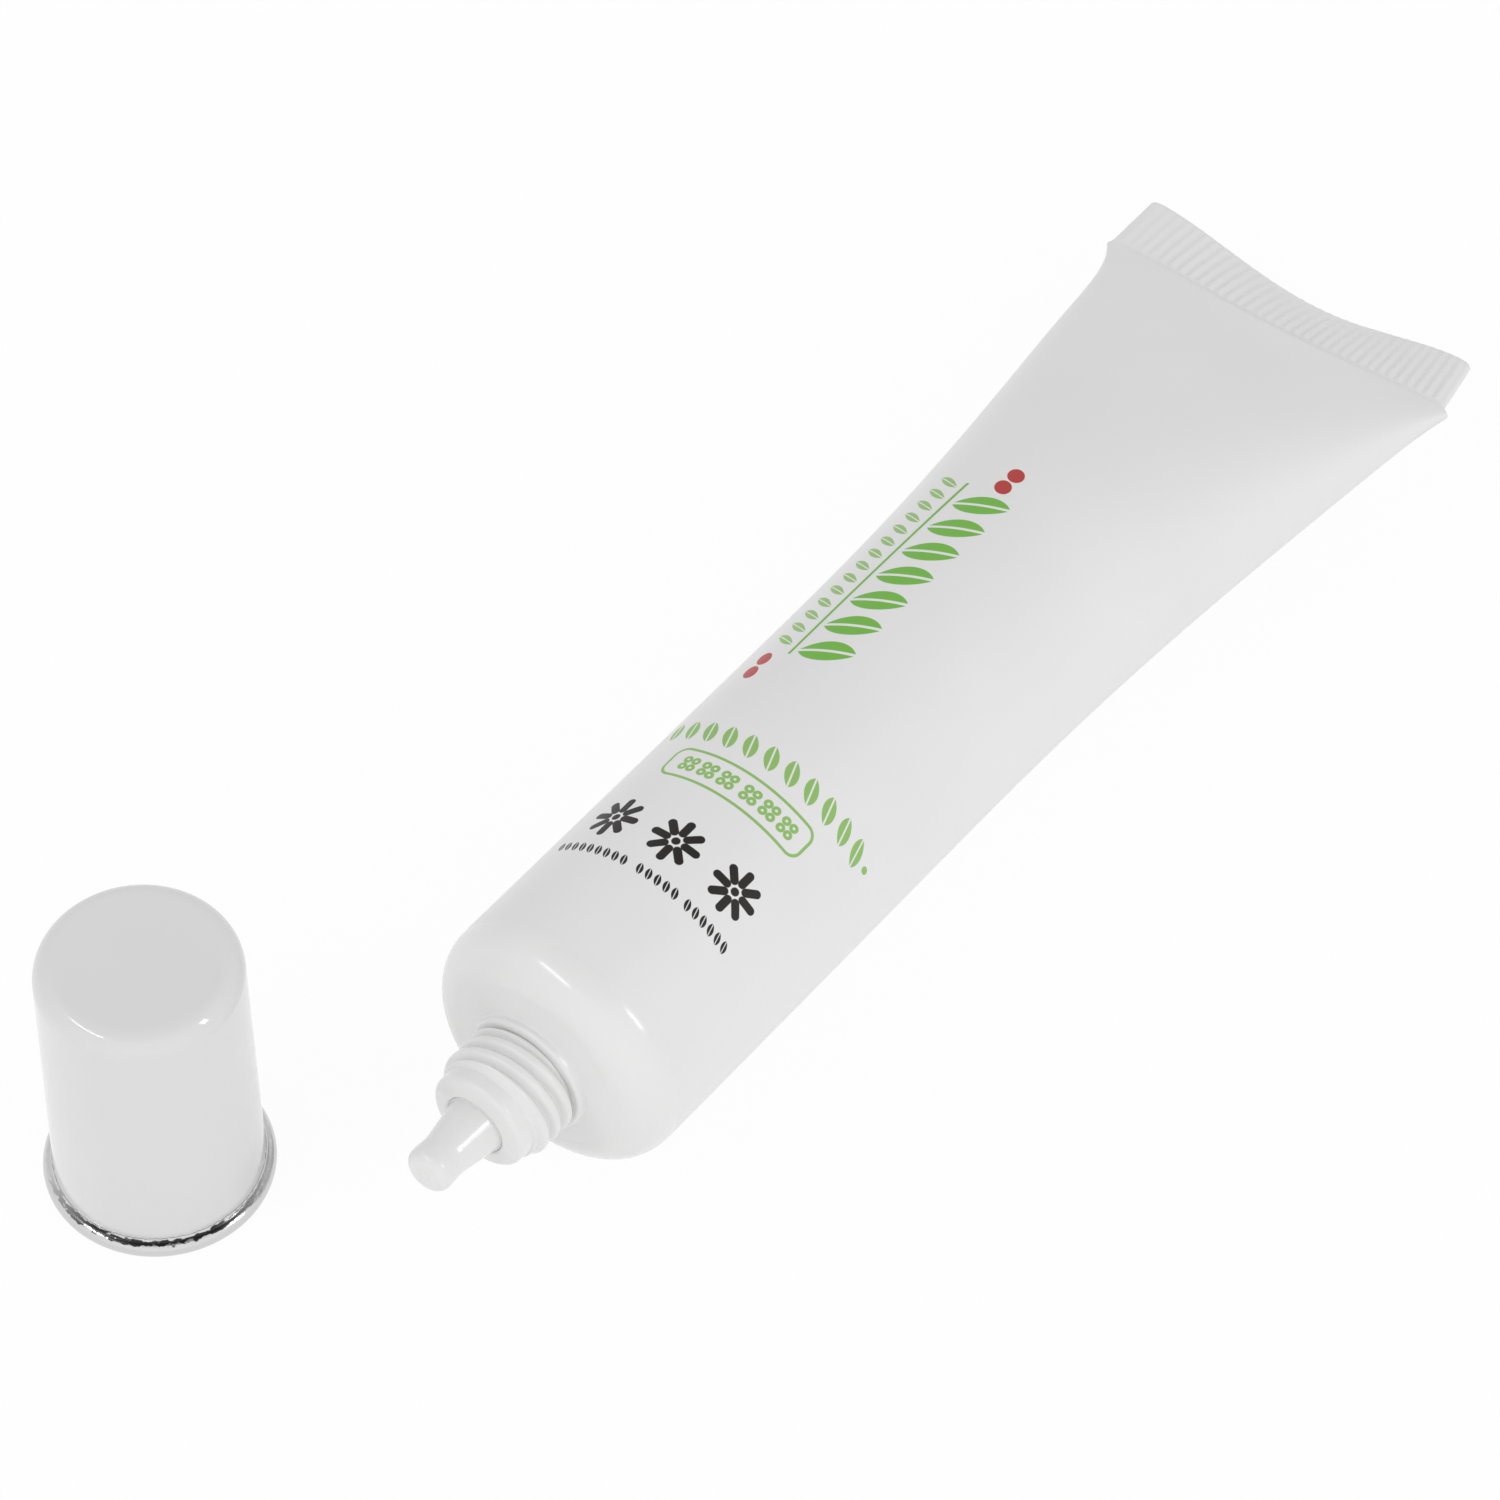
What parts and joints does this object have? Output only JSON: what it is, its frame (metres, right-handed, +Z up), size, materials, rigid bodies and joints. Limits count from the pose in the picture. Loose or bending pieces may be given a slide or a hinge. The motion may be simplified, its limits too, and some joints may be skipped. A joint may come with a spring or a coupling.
{
  "type": "acne cream tube",
  "caption": "Filled squeeze tube of skin cream with round shoulder, threaded neck, closed nozzle and ribbed flat fin, lying beside its tall screw cap.",
  "frame": {"origin": "centre of the lowest face of the box round tube and cap, on the table", "axes": "+X from the nozzle to the crimped fin, +Y towards the cap, +Z up from the table"},
  "size_m": [0.131, 0.0492, 0.0267],
  "materials": {
    "sleeve": null,
    "head": "smooth white moulding",
    "cap": "polished white moulding",
    "foil": "bright silver foil, slightly creased"
  },
  "bodies": {
    "root": {"tube_sleeve": "sleeve", "tube_head": "head", "cap": "cap", "foil_band": "foil"}
  },
  "joints": []
}
